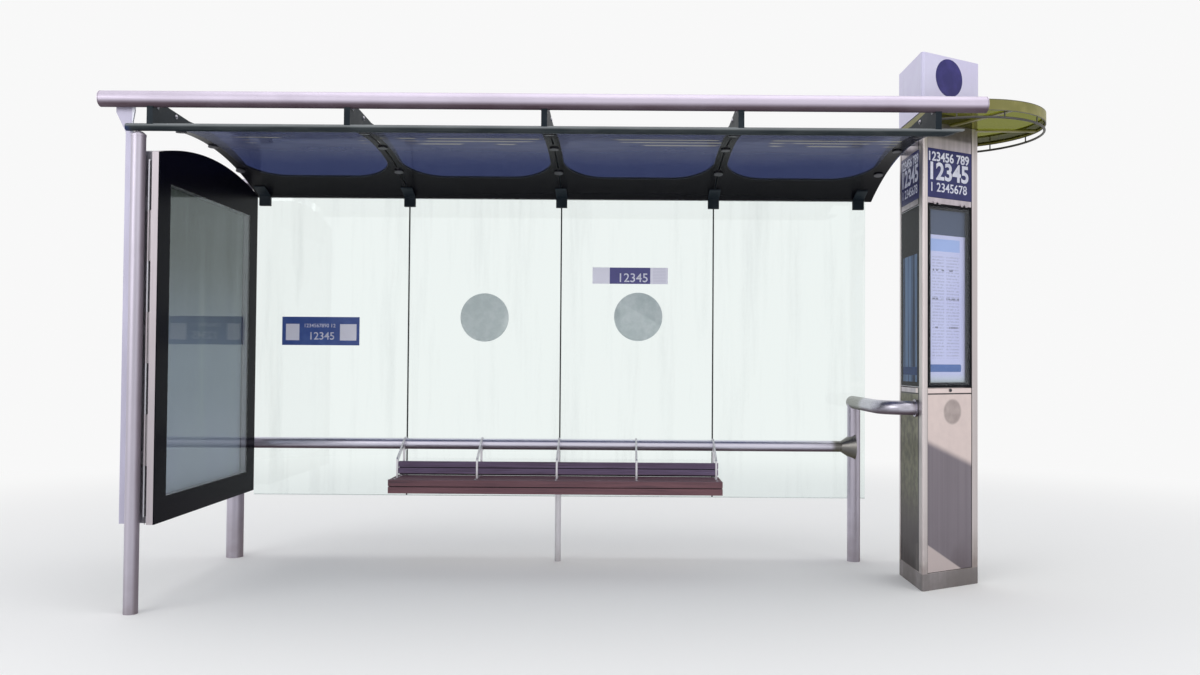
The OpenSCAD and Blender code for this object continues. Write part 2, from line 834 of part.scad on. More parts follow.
// The band, with the flat bars that carry it from the totem's corners
module ring_band() {
    color("lightgray") {
        translate([0, 0, ring_top - ring_h]) linear_extrude(ring_h) difference() {
            ring_plan();
            ring_plan(ring_t);
        }
        translate([0, 0, ring_top - ring_h + bar_up]) linear_extrude(bar_t) difference() {
            intersection() {
                ring_plan(ring_t / 2);
                translate([totem_x, totem_y]) for (t = [0, 60, -60]) rotate(t)
                    translate([0, -bar_w / 2]) square([2 * ring_r, bar_w]);
            }
            translate([totem_x, totem_y]) triangle(totem_a + fit, totem_r + fit);
        }
    }
}

// Thin hoop below the band, with its spacers
module ring_hoop() {
    mid = ring_t / 2 + hoop_d / 2;
    flat = totem_left - fit - hoop_d / 2;
    reach = ring_r - mid;
    half = acos((ring_x - flat) / reach);
    open = 180 - half;
    side = reach * sin(half) + hoop_d / 2;
    color("gray") {
        translate([ring_x, ring_y, hoop_z]) rotate(-open)
            rotate_extrude(angle = 2 * open, $fn = 180) translate([reach, 0]) circle(hoop_d / 2);
        translate([flat, ring_y - side, hoop_z]) rotate([-90, 0, 0])
            cylinder(h = 2 * side, r = hoop_d / 2 - 0.5);
        for (k = [0:spacers - 1])
            translate([ring_x, ring_y, hoop_z]) rotate(-open + (k + 0.5) * 2 * open / spacers)
                translate([reach, 0, 0]) cylinder(h = ring_top - ring_h - hoop_z - fit, r = 4);
    }
}

module ring_glass() {
    color("palegreen", 0.4) translate([0, 0, ring_top - ring_h + bar_up + bar_t + fit])
        linear_extrude(ring_glass_t) difference() {
            ring_plan(ring_t + fit);
            translate([totem_x, totem_y]) triangle(totem_a + swing, totem_r + swing);
        }
}

front_beam();
edge_rail();
roof_arm_1();
roof_arm_2();
roof_arm_3();
roof_arm_4();
roof_arm_5();
roof_glass_1();
roof_glass_2();
roof_glass_3();
roof_glass_4();
glass_studs();
rear_header();
rear_glass_1();
rear_glass_2();
rear_glass_3();
rear_glass_4();
glass_clamps();
rear_rail();
front_left_post();
rear_left_post();
right_post();
arm_rail();
case_core();
case_upright();
case_outer_glass();
case_door();
case_door_glass();
case_hinge();
case_brackets();
notice_sheets();
bench_frame();
bench_boards();
totem_column();
totem_stiles();
totem_panels();
totem_door();
totem_door_glass();
totem_side_display();
totem_signs();
totem_cap();
totem_brackets();
ring_band();
ring_hoop();
ring_glass();
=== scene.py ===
import math

import bmesh
import bpy
from mathutils import Matrix, Vector


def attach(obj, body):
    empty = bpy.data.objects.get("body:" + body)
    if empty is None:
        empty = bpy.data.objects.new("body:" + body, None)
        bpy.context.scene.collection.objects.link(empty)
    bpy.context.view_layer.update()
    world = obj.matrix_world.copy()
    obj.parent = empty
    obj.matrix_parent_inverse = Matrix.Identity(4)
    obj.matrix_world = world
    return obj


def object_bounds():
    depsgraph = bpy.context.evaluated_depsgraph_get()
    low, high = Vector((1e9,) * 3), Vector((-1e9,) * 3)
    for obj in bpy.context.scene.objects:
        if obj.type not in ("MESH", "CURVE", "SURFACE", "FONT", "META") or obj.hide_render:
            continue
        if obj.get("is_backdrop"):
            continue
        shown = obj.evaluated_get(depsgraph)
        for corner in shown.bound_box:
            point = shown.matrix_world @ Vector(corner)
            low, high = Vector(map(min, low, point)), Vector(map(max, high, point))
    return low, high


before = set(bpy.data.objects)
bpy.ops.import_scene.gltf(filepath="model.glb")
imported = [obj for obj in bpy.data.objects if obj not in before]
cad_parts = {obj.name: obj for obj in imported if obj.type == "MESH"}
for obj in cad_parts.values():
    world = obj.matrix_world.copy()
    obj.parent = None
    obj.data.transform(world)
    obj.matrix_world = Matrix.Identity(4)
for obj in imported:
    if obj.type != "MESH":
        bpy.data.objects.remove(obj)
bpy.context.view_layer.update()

# The view. The camera stands at eye height, 5.4 m before the front beam, as in the photograph.
# It looks straight at the shelter, a little upwards, and is rolled by less than half a degree.
EYE, LOOK_UP, ROLL = (2.655, -5.38, 1.39), math.radians(1.24), -0.007
LENS_MM, SENSOR_MM, SHIFT = 29.55, 36, (-0.0175, 0.0018)
camera = bpy.data.objects.new("camera", bpy.data.cameras.new("camera"))
camera.data.lens, camera.data.sensor_width = LENS_MM, SENSOR_MM
camera.data.shift_x, camera.data.shift_y = SHIFT
camera.location = EYE
camera.rotation_euler = (math.pi / 2 + LOOK_UP, ROLL, 0)
bpy.context.collection.objects.link(camera)
bpy.context.scene.camera = camera
bpy.context.scene.view_settings.view_transform = "Standard"


# The studio. A wide pale floor carries the shadow and fades into a white backdrop.
# An even light comes from all round, and soft lamps above and before the shelter put a sheen on tubes.
class Wire:
    """A socket that adds Math nodes when it is used in an expression."""

    def __init__(self, finish, socket):
        self.finish, self.socket = finish, socket

    def math(self, operation, *values):
        """A Math node."""
        return self.finish.add("ShaderNodeMath", {"operation": operation}, values)

    def __add__(self, other):
        return self.math("ADD", self, other)

    def __sub__(self, other):
        return self.math("SUBTRACT", self, other)

    def __rsub__(self, other):
        return self.math("SUBTRACT", other, self)

    def __mul__(self, other):
        return self.math("MULTIPLY", self, other)

    def __pow__(self, other):
        return self.math("POWER", self, other)

    def __mod__(self, other):
        return self.math("FLOORED_MODULO", self, other)

    def __lt__(self, other):
        return self.math("LESS_THAN", self, other)

    def __gt__(self, other):
        return self.math("GREATER_THAN", self, other)

    def __abs__(self):
        return self.math("ABSOLUTE", self)

    def least(self, other):
        """The smaller of two values."""
        return self.math("MINIMUM", self, other)

    def most(self, other):
        """The larger of two values."""
        return self.math("MAXIMUM", self, other)

    def between(self, low, high):
        """1 where this value lies between two values, 0 elsewhere."""
        return (self > low) * (self < high)

    def ramp(self, low, high, first=0.0, last=1.0):
        """Goes smoothly from first to last while this value goes from low to high."""
        settings = {"interpolation_type": "SMOOTHSTEP"}
        return self.finish.add("ShaderNodeMapRange", settings, [self, low, high, first, last])

    __radd__, __rmul__ = __add__, __mul__


class Finish:
    """A procedural finish: one node tree, with a method that adds any node to it."""

    def __init__(self, name, shader=None, owner=None):
        self.owner = owner or bpy.data.materials.new(name)
        self.owner.use_nodes = True
        self.tree = self.owner.node_tree
        self.shader = self.tree.nodes.get("Principled BSDF")
        self.put(shader or {})

    def put(self, sockets):
        """Sets or links sockets of the main shader."""
        for name, value in sockets.items():
            self.join(self.shader.inputs[name], value)

    def join(self, socket, value):
        """Links a wire to a socket, or sets the socket's value."""
        if isinstance(value, Wire):
            self.tree.links.new(value.socket, socket)
        elif value is not None:
            if hasattr(socket.default_value, "__len__") and len(socket.default_value) == 4:
                value = (*value[:3], 1)
            socket.default_value = value

    def now(self, name):
        """What feeds a socket of the main shader so far."""
        return Wire(self, self.shader.inputs[name].links[0].from_socket)

    def add(self, kind, settings=None, values=(), output=0):
        """Adds a node, sets it, then fills its sockets by place or by name."""
        node = self.tree.nodes.new(kind)
        for name, value in (settings or {}).items():
            setattr(node, name, value)
        pairs = values.items() if isinstance(values, dict) else enumerate(values)
        for name, value in pairs:
            self.join(node.inputs[name], value)
        return Wire(self, node.outputs[output])

    def split(self, vector):
        """The three parts of a vector."""
        parts = self.add("ShaderNodeSeparateXYZ", {}, [vector])
        return [Wire(self, output) for output in parts.socket.node.outputs]

    def axes(self):
        """The place on the shelter, in metres."""
        return self.split(self.add("ShaderNodeTexCoord", output="Object"))

    def normal(self):
        """The three parts of the direction that the surface faces."""
        return self.split(self.add("ShaderNodeNewGeometry", output="Normal"))

    def noise(self, stretch, detail=3.0, rough=0.55):
        """Cloudy noise between 0 and 1, with the number of clouds in a metre along each axis."""
        here = self.add("ShaderNodeTexCoord", output="Object")
        place = self.add("ShaderNodeMapping", {}, {"Vector": here, "Scale": stretch})
        values = {"Vector": place, "Scale": 1.0, "Detail": detail, "Roughness": rough}
        return self.add("ShaderNodeTexNoise", {}, values)

    def mix(self, factor, first, second):
        """Mixes two colours."""
        values = {0: factor, 6: first, 7: second}
        return self.add("ShaderNodeMix", {"data_type": "RGBA"}, values, 2)

    def blend(self, factor, first, second):
        """Mixes two shaders."""
        return self.add("ShaderNodeMixShader", {}, [factor, first, second])

    def bump(self, height, depth, strength):
        """A relief of a depth in metres."""
        values = {"Height": height, "Distance": depth, "Strength": strength}
        return self.add("ShaderNodeBump", {}, values)

    def show(self, surface):
        """Sends a shader to the output."""
        end = next(node for node in self.tree.nodes if node.type.startswith("OUTPUT"))
        self.join(end.inputs["Surface"], surface)


BACKDROP, DAYLIGHT, DAYLIGHT_STRENGTH = (0.94, 0.94, 0.94), (0.97, 0.98, 1.0), 0.72
world = bpy.data.worlds.new("studio")
bpy.context.scene.world = world
sky = Finish("studio", owner=world)
rays = sky.add("ShaderNodeLightPath").socket.node.outputs
seen = Wire(sky, rays["Is Camera Ray"]).most(Wire(sky, rays["Is Glossy Ray"]))
seen = seen.most(Wire(sky, rays["Is Transmission Ray"]))
lit = sky.add("ShaderNodeBackground", {}, {"Color": DAYLIGHT, "Strength": DAYLIGHT_STRENGTH})
sky.show(sky.blend(seen, lit, sky.add("ShaderNodeBackground", {}, {"Color": BACKDROP})))


def soft_lamp(name, at, aim, width, height, watts):
    """A rectangular softbox that faces a point."""
    lamp = bpy.data.objects.new(name, bpy.data.lights.new(name, "AREA"))
    lamp.data.shape, lamp.data.size, lamp.data.size_y, lamp.data.energy = "RECTANGLE", width, height, watts
    lamp.location = at
    lamp.rotation_euler = (Vector(aim) - Vector(at)).to_track_quat("-Z", "Y").to_euler()
    bpy.context.collection.objects.link(lamp)


soft_lamp("top_lamp", (2.6, -0.5, 9.0), (2.6, 0.8, 0), 10, 8, 300)
soft_lamp("left_lamp", (-5.0, -7.0, 4.5), (2.0, 0.5, 1.4), 6, 5, 200)
soft_lamp("right_lamp", (10.5, -6.5, 3.5), (3.5, 0.5, 1.4), 6, 5, 150)


def link(name, tools, finish, body="frame", slot=None):
    """Turns a bmesh into a piece at the origin, which rides on a body when a slot is given."""
    mesh = bpy.data.meshes.new(name)
    tools.to_mesh(mesh)
    tools.free()
    mesh.materials.append(finish.owner)
    piece = bpy.data.objects.new(name, mesh)
    bpy.context.collection.objects.link(piece)
    if slot:
        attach(piece, body)
    return piece


FLOOR_HALF, FLOOR_MID_X, FLOOR_MID_Y, FADE_START, FADE_END = 90, 2.6, 0.8, 3.5, 9.0
slab = bmesh.new()
bmesh.ops.create_grid(slab, x_segments=1, y_segments=1, size=FLOOR_HALF)
pale = Finish("pale_floor", {"Base Color": (0.86, 0.86, 0.86), "Roughness": 0.9})
x, y = pale.axes()[:2]
u, v = x - FLOOR_MID_X, y - FLOOR_MID_Y
away = (u * u + v * v) ** 0.5
backdrop = pale.add("ShaderNodeEmission", {}, {"Color": BACKDROP})
pale.show(pale.blend(away.ramp(FADE_START, FADE_END), Wire(pale, pale.shader.outputs[0]), backdrop))
link("floor", slab, pale)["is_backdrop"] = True

# The front beam is a round stainless tube with a lilac cast, brushed along its length. Flat discs are
# welded into its ends and ground, which leaves a dark line, and its underside carries brown painted shade.


def dress(finish, *names):
    """Gives a finish to nodes of the frame."""
    for name in names:
        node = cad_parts[name]
        node.data.materials.clear()
        node.data.materials.append(finish.owner)


STREAKS, BROAD_BANDS = 380.0, 19.0
# The first brown is painted shade for undersides and sides; the second is mud.
PAINTED_SHADE_BROWN, MUD_BROWN, MUD_REACH = (0.10, 0.065, 0.085), (0.17, 0.13, 0.11), 0.4


def brushed_steel(name, along, colour, rough, under_shade=0.0, side=0.0, mud=0.0, reflection_band_depth=0.25):
    """Brushed stainless steel: streaks along one axis, soft bands of painted reflection, painted shade
    below or aside, mud low down.
    """
    steel = Finish(name, {"Metallic": 1.0})
    streaks = steel.noise([3.0 if axis == along else STREAKS for axis in "XYZ"], 2.0)
    # Broad soft bands along the axis are painted reflection: darker stripes like those a tube shows of its
    # surroundings.
    reflection_bands = steel.noise([0.35 if axis == along else BROAD_BANDS for axis in "XYZ"], 2.0)
    clouds = steel.noise((3.0, 3.0, 3.0), 5.0)
    tone = steel.mix(reflection_bands.ramp(0.35, 0.65) * reflection_band_depth, colour, [c * 0.35 for c in colour])
    tone = steel.mix(clouds.ramp(0.45, 0.75) * 0.3, tone, [c * 0.7 for c in colour])
    facing = steel.normal()
    # Painted shade: faces turned down, and with the side weight faces turned to +X, go dark brown.
    grime_and_painted_shade = facing[2].ramp(-0.75, -0.15, 1.0, 0.0) * (0.75 + clouds * 0.4) * under_shade
    grime_and_painted_shade = grime_and_painted_shade + facing[0].ramp(0.45, 0.95) * (0.6 + clouds * 0.5) * side
    splash = steel.axes()[2].ramp(0.0, MUD_REACH, 1.0, 0.0) * clouds.ramp(0.3, 0.6) * mud
    tone = steel.mix(grime_and_painted_shade.least(1.0), tone, PAINTED_SHADE_BROWN)
    steel.put({
        "Base Color": steel.mix(splash, tone, MUD_BROWN),
        "Metallic": 1.0 - (grime_and_painted_shade * 0.5 + splash * 0.7).least(1.0),
        "Roughness": rough + streaks.ramp(0.2, 0.8) * 0.14 + clouds * 0.06 + (grime_and_painted_shade + splash) * 0.25,
        "Normal": steel.bump(streaks, 0.0002, 0.3),
    })
    return steel


def overlay(finish, factor, colour):
    """Lays another colour over what a finish has so far."""
    finish.put({"Base Color": finish.mix(factor, finish.now("Base Color"), colour)})


BEAM_LEFT, BEAM_RIGHT, WELD_IN, WELD_WIDE = -0.213, 4.652, 0.004, 0.003
beam_steel = brushed_steel("beam_steel", "X", (0.58, 0.525, 0.63), 0.42, under_shade=1.0, reflection_band_depth=0.1)
x = beam_steel.axes()[0]
from_end = (x - BEAM_LEFT).least(BEAM_RIGHT - x)
overlay(beam_steel, from_end.between(WELD_IN, WELD_IN + WELD_WIDE) * 0.6, (0.12, 0.1, 0.12))
dress(beam_steel, "front_beam")

# The edge rail is a painted profile that grips the front edge of the roof glass.
# Its paint is a dark green-grey, blue where it closes at the left end, with a painted highlight on the
# upper lip.
RAIL_GREEN, RAIL_GREEN_FADED = (0.013, 0.019, 0.023), (0.032, 0.039, 0.043)
LIP_LOW, LIP_TOP, BLUE_FULL, BLUE_END = 2.652, 2.668, -0.062, -0.03
rail_paint = Finish("edge_rail_paint", {"Specular IOR Level": 0.15})
x, z = rail_paint.axes()[::2]
patches = rail_paint.noise((5, 40, 40), 4.0)
# Painted highlight: the upper lip is lighter, broken by the patches.
lip_highlight = z.ramp(LIP_LOW, LIP_TOP) * (0.6 + patches * 0.5)
rail_tone = rail_paint.mix(patches.ramp(0.35, 0.7), RAIL_GREEN, RAIL_GREEN_FADED)
rail_tone = rail_paint.mix(x.ramp(BLUE_FULL, BLUE_END, 1.0, 0.0), rail_tone, (0.02, 0.035, 0.09))
rail_paint.put({
    "Base Color": rail_paint.mix(lip_highlight.least(1.0), rail_tone, (0.25, 0.27, 0.28)),
    "Roughness": 0.38 + patches * 0.25,
    "Normal": rail_paint.bump(patches, 0.0004, 0.3),
})
dress(rail_paint, "edge_rail")

# The five roof arms are cut from thick plate and painted almost black, with dust on their tops.
# Each grips the front beam in a notch, carries the glass on studs and saddles the rear header.
ARMS, BAY, FIRST_ARM, ARM_HALF = 5, 1.08, 0.065, 0.0165
ARM_BOLTS = ((0.27, 2.779, 0.009), (0.045, 2.775, 0.007))
arm_paint = Finish("arm_paint", {"Specular IOR Level": 0.12})
dust = arm_paint.noise((9, 9, 9), 5.0)
scratch = arm_paint.noise((2, 60, 60), 3.0)
arm_tone = arm_paint.mix(dust.ramp(0.4, 0.75), (0.009, 0.015, 0.021), (0.024, 0.032, 0.04))
arm_paint.put({
    "Base Color": arm_paint.mix(scratch.ramp(0.66, 0.74) * 0.4, arm_tone, (0.14, 0.15, 0.16)),
    "Roughness": 0.36 + dust * 0.3,
    "Normal": arm_paint.bump(dust, 0.0006, 0.4),
})
dress(arm_paint, "roof_arm_1", "roof_arm_2", "roof_arm_3", "roof_arm_4", "roof_arm_5", "glass_clamps")


def dome_bolt(tools, at, out, radius):
    """A round-headed bolt on its washer, standing out of a face."""
    turn = Vector(out).to_track_quat("Z", "Y").to_matrix().to_4x4()
    spot = Matrix.Translation(at) @ turn
    washer = bmesh.ops.create_cone(tools, cap_ends=True, segments=20, radius1=radius * 1.5,
                                   radius2=radius * 1.42, depth=radius * 0.3)["verts"]
    bmesh.ops.transform(tools, matrix=spot @ Matrix.Translation((0, 0, radius * 0.15)), verts=washer)
    head = bmesh.ops.create_uvsphere(tools, u_segments=16, v_segments=8, radius=radius)["verts"]
    flat = Matrix.Translation((0, 0, radius * 0.25)) @ Matrix.Diagonal((1, 1, 0.62, 1))
    bmesh.ops.transform(tools, matrix=spot @ flat, verts=head)


bolts = bmesh.new()
for arm in range(ARMS):
    for side in (-1, 1):
        cheek = FIRST_ARM + arm * BAY + side * ARM_HALF
        for back, height, radius in ARM_BOLTS:
            dome_bolt(bolts, (cheek, back, height), (side, 0, 0), radius)
bolt_steel = brushed_steel("bolt_steel", "Z", (0.45, 0.44, 0.48), 0.3)
link("arm_bolts", bolts, bolt_steel, "frame", "brushed_steel")

# The roof is bent toughened glass. A black ceramic print borders each pane and leaves one large window
# with round corners, tinted a deep blue. The underside carries painted reflection, pale streaks near its
# front, and a grey wash of painted light that thins towards the rear.
ROOF_R, ROOF_MID_Y, ROOF_MID_Z, GLASS = 2.65, 0.65, 0.08, 0.012
WINDOW_MID_Y, WINDOW_HALF_X, WINDOW_HALF_Y, WINDOW_CORNER = 0.66, 0.497, 0.685, 0.27
REFLECTIONS_FRONT, REFLECTIONS_REAR, REFLECTION_LINES_A_METRE, GREY_FRONT, GREY_REAR = 0.50, 0.76, 13.0, 0.75, 1.2


def glass_finish(name, tint, shine=(0.9, 0.93, 0.95), gloss=0.02, grow=0.9):
    """See-through glass whose reflection grows towards the edge of view."""
    glass = Finish(name)
    clear = glass.add("ShaderNodeBsdfTransparent", {}, {"Color": tint})
    mirror = glass.add("ShaderNodeBsdfGlossy", {}, {"Color": shine, "Roughness": gloss})
    edge_on = glass.add("ShaderNodeLayerWeight", {}, {"Blend": 0.5}, "Facing")
    glass.pane = glass.blend(0.03 + (edge_on ** 5.0) * grow, clear, mirror)
    return glass


def printed(glass, mask, colour, rough=0.25):
    """Covers part of a glass with an opaque print, where the mask is 1."""
    glass.put({"Base Color": colour, "Roughness": rough, "Specular IOR Level": 0.02})
    glass.show(glass.blend(mask, glass.pane, Wire(glass, glass.shader.outputs[0])))


def rounded_window(across, along, half_across, half_along, corner):
    """1 outside a rectangle with round corners, 0 inside it, from distances to its middle."""
    soft = 0.0015
    u = (abs(across) - (half_across - corner)).most(0.0)
    v = (abs(along) - (half_along - corner)).most(0.0)
    return ((u * u + v * v) ** 0.5).ramp(corner - soft, corner + soft)


roof_glass = glass_finish("roof_glass", (0.165, 0.195, 0.335), (0.22, 0.25, 0.38), 0.05, 0.4)
x, y = roof_glass.axes()[:2]
across = (x - FIRST_ARM) % BAY - BAY / 2
border = rounded_window(across, y - WINDOW_MID_Y, WINDOW_HALF_X, WINDOW_HALF_Y, WINDOW_CORNER)
below = roof_glass.normal()[2] < 0.0
# Pale streaks of painted reflection, in lines on the underside near the front.
lines = ((y * REFLECTION_LINES_A_METRE) % 1.0 < 0.4) * y.between(REFLECTIONS_FRONT, REFLECTIONS_REAR) * 0.42
pale_reflections = roof_glass.noise((2.2, 1.2, 1), 2.0).ramp(0.49, 0.56) * lines * below
# A grey wash of painted light on the underside, strongest at the front.
grey_light_wash = (0.35 + roof_glass.noise((2.5, 6, 2), 4.0)) * y.ramp(GREY_FRONT, GREY_REAR, 0.26, 0.03) * below
cover_tone = roof_glass.mix(pale_reflections.ramp(0.0, 0.4), (0.36, 0.37, 0.45), (0.72, 0.68, 0.5))
cover_tone = roof_glass.mix(border, cover_tone, (0.003, 0.003, 0.005))
printed(roof_glass, border.most(pale_reflections.most(grey_light_wash)), cover_tone)
dress(roof_glass, "roof_glass_1", "roof_glass_2", "roof_glass_3", "roof_glass_4")

# The joints between the roof panes are black rubber, dusty in patches. Two thin strips follow the arc
# in each joint, one on either side of the studs, from the edge rail to the roof's rear edge.
ROOF_REAR_Y, JOINT_OFF, JOINT_HALF, JOINT_IN, JOINT_STEPS = 1.64, 0.0066, 0.0004, 0.0005, 40
TRIM_FRONT, TRIM_REAR = 0.012, 0.004
hub = (0, ROOF_MID_Y, ROOF_MID_Z)
joint = bmesh.new()
start = math.asin(ROOF_MID_Y / (ROOF_R + GLASS)) - TRIM_FRONT
sweep = start + math.asin((ROOF_REAR_Y - ROOF_MID_Y) / (ROOF_R + GLASS)) - TRIM_REAR
low_r, top_r = ROOF_R + JOINT_IN, ROOF_R + GLASS - JOINT_IN
for seam in range(1, ARMS - 1):
    for offset in (-JOINT_OFF, JOINT_OFF):
        middle = FIRST_ARM + seam * BAY + offset
        left, right = middle - JOINT_HALF, middle + JOINT_HALF
        loop = [joint.verts.new((u, ROOF_MID_Y - r * math.sin(start), ROOF_MID_Z + r * math.cos(start)))
                for u, r in ((left, low_r), (right, low_r), (right, top_r), (left, top_r))]
        bmesh.ops.spin(joint, geom=[joint.faces.new(loop)], cent=hub, axis=(1, 0, 0), angle=-sweep,
                       steps=JOINT_STEPS)
bmesh.ops.recalc_face_normals(joint, faces=joint.faces[:])
black_rubber = Finish("black_rubber")
powder = black_rubber.noise((30, 30, 30), 3.0)
black_rubber.put({
    "Base Color": black_rubber.mix(powder.ramp(0.5, 0.8), (0.01, 0.01, 0.012), (0.04, 0.04, 0.042)),
    "Roughness": 0.6 + powder * 0.25,
})
link("roof_joints", joint, black_rubber, "frame", "display_black")

# The studs are turned steel plates and bosses, almost black with age, that hold the roof glass under
# the arms. The brackets of the case and of the totem are bent plate, a little brighter.
stud_steel = brushed_steel("stud_steel", "Z", (0.09, 0.09, 0.10), 0.4)
dress(stud_steel, "glass_studs")
bracket_steel = brushed_steel("bracket_steel", "Z", (0.36, 0.35, 0.38), 0.34)
dress(bracket_steel, "case_brackets", "totem_brackets")

# The rear header is a brushed stainless tube behind the black rear band of the roof glass.
# The arms saddle it, and its underside carries a little painted shade.
dress(brushed_steel("header_steel", "X", (0.42, 0.4, 0.46), 0.3, under_shade=0.4), "rear_header")

# The rear wall is clear toughened glass in four panes, hung behind the rail, with dark silicone
# between them. Rain has left faint runs, and the cut edges are a light green.
WALL_Y, WALL_LOW, WALL_TOP, CUT_LOW, CUT_TOP = 1.60605, 0.43, 2.5369, 0.0035, 0.0045
wall_glass = glass_finish("wall_glass", (0.955, 0.985, 0.975))
runs = wall_glass.noise((9, 9, 0.8), 4.0)
cut_edge = wall_glass.axes()[2].ramp(WALL_LOW + CUT_LOW, WALL_LOW + CUT_TOP, 1.0, 0.0)
haze = (runs.ramp(0.45, 0.85) * 0.10).most(cut_edge * 0.6)
printed(wall_glass, haze, (0.72, 0.77, 0.76), 0.8)
dress(wall_glass, "rear_glass_1", "rear_glass_2", "rear_glass_3", "rear_glass_4")


def plate(tools, low, high, edge, turn=None):
    """A plate between two corners, with small bevelled edges."""
    low, high = Vector(low), Vector(high)
    verts = bmesh.ops.create_cube(tools, size=1)["verts"]
    fit = Matrix.Translation((low + high) / 2) @ Matrix.Diagonal((*(high - low), 1))
    bmesh.ops.transform(tools, matrix=(turn or Matrix()) @ fit, verts=verts)
    edges = {e for v in verts for e in v.link_edges}
    bmesh.ops.bevel(tools, geom=list(edges), offset=edge, segments=2, profile=0.5,
                    affect="EDGES", material=-1)


EDGE, THIN_EDGE = 0.0008, 0.0003
SEAM_HALF, SEAM_IN, SEAM_LOW, SEAM_TOP = 0.0048, 0.0015, WALL_LOW + 0.002, WALL_TOP - 0.03
seams = bmesh.new()
for seam in range(1, ARMS - 1):
    middle = FIRST_ARM + seam * BAY
    plate(seams, (middle - SEAM_HALF, WALL_Y + SEAM_IN, SEAM_LOW),
          (middle + SEAM_HALF, WALL_Y + GLASS - SEAM_IN, SEAM_TOP), EDGE)
link("wall_joints", seams, black_rubber, "frame", "display_black")

# Two round films of frosted white vinyl stick to the middle panes at eye height, against collisions.
# They are mottled with age, and the right one is the less see-through.
FILMS, FILM_R, FILM_THICK = ((1.685, 1.692), (2.775, 1.704)), 0.1715, 0.0004
CLEARER_END, DENSER_START = 2.0, 2.5
frost = Finish("frosted_film", {"Roughness": 0.85})
mottle = frost.noise((14, 14, 14), 4.0)
frost.put({
    "Base Color": frost.mix(mottle.ramp(0.35, 0.7), (0.46, 0.54, 0.55), (0.58, 0.65, 0.66)),
    "Alpha": 0.55 + frost.axes()[0].ramp(CLEARER_END, DENSER_START, 0.0, 0.15) + mottle * 0.2,
})


def flat_disc(tools, place, radius, thickness):
    """A thin round disc in the XZ plane that stands out of its place towards -Y."""
    disc = bmesh.ops.create_cone(tools, cap_ends=True, segments=72, radius1=radius, radius2=radius,
                                 depth=thickness)["verts"]
    turn = Matrix.Translation((0, -thickness / 2, 0)) @ Matrix.Rotation(math.pi / 2, 4, "X")
    bmesh.ops.transform(tools, matrix=place @ turn, verts=disc)


films = bmesh.new()
for middle, height in FILMS:
    flat_disc(films, Matrix.Translation((middle, WALL_Y, height)), FILM_R, FILM_THICK)
link("frosted_films", films, frost, "frame", "paper")

# Two plates of thin printed plastic are stuck to the wall and name the stop by a number. The left one is
# blue with two white squares set in, the right one blue in the middle and white at both ends.
PLATES = ((0.2503, 0.7987, 1.487, 1.688), (2.4486, 2.9836, 1.9375, 2.0535))
PLATE_FRONT, PLATE_BACK, INK_THICK = WALL_Y - 0.0025, WALL_Y - 0.0002, 0.0002
BETWEEN_PLATES, LEFT_WHITE_END, RIGHT_WHITE_START = 1.5, 0.122, 0.41
SQUARES_LEFT, SQUARES_RIGHT, SQUARES_MID, SQUARES_HALF = 0.027, 0.527, 1.5795, 0.058
LINES_LEFT, LINES_RIGHT, LINES_A_METRE = 0.43, 0.52, 95.0
FIGURES = (("plate_number_1", "12345", 0.075, 0.53, 1.55, 0.0006),
           ("plate_row_1", "1234567890 12", 0.036, 0.516, 1.625, 0.0003),
           ("plate_number_2", "12345", 0.088, 2.735, 1.978, 0.0006))
plate_print = Finish("plate_print", {"Coat Weight": 0.3})
x, z = plate_print.axes()[::2]
wear = plate_print.noise((11, 11, 11), 4.0)
first = x < BETWEEN_PLATES
second = 1.0 - first
along = x - (PLATES[0][0] * first + PLATES[1][0] * second)
outside = (abs(z - SQUARES_MID) > SQUARES_HALF).most(along < SQUARES_LEFT).most(along > SQUARES_RIGHT)
white = (along < LEFT_WHITE_END).most(along > RIGHT_WHITE_START) * (1.0 - first * outside)
rows = ((z * LINES_A_METRE) % 1.0 > 0.45) * along.between(LINES_LEFT, LINES_RIGHT) * 0.25 * second
blue = plate_print.mix(wear.ramp(0.4, 0.8), (0.03, 0.075, 0.31), (0.06, 0.12, 0.38))
blue = plate_print.mix(first, plate_print.mix(wear, (0.045, 0.05, 0.2), (0.08, 0.07, 0.27)), blue)
field = plate_print.mix(rows, (0.8, 0.8, 0.92), (0.3, 0.3, 0.45))
plate_print.put({"Base Color": plate_print.mix(white, blue, field), "Roughness": 0.3 + wear * 0.25})
plates = bmesh.new()
for left, right, low, top in PLATES:
    plate(plates, (left, PLATE_FRONT, low), (right, PLATE_BACK, top), EDGE)
link("wall_plates", plates, plate_print, "frame", "sign_blue")

white_ink = Finish("white_ink", {"Roughness": 0.5})
fade = white_ink.noise((20, 20, 20), 3.0)
white_ink.put({"Base Color": white_ink.mix(fade.ramp(0.35, 0.75), (0.72, 0.73, 0.85), (0.55, 0.56, 0.7))})


def numbers(name, text, size, place, bold):
    """Raised white figures, centred on a place, that lie in the XZ plane before they are placed."""
    curve = bpy.data.curves.new(name, "FONT")
    curve.body, curve.size, curve.extrude, curve.offset = text, size, INK_THICK, bold
    curve.align_x, curve.align_y = "CENTER", "CENTER"
    mould = bpy.data.objects.new(name, curve)
    bpy.context.collection.objects.link(mould)
    mesh = bpy.data.meshes.new_from_object(mould)
    bpy.data.objects.remove(mould)
    mesh.transform(place @ Matrix.Rotation(math.pi / 2, 4, "X"))
    mesh.materials.clear()
    mesh.materials.append(white_ink.owner)
    piece = bpy.data.objects.new(name, mesh)
    bpy.context.collection.objects.link(piece)
    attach(piece, "frame")


for name, text, size, middle, height, bold in FIGURES:
    numbers(name, text, size, Matrix.Translation((middle, PLATE_FRONT - INK_THICK, height)), bold)
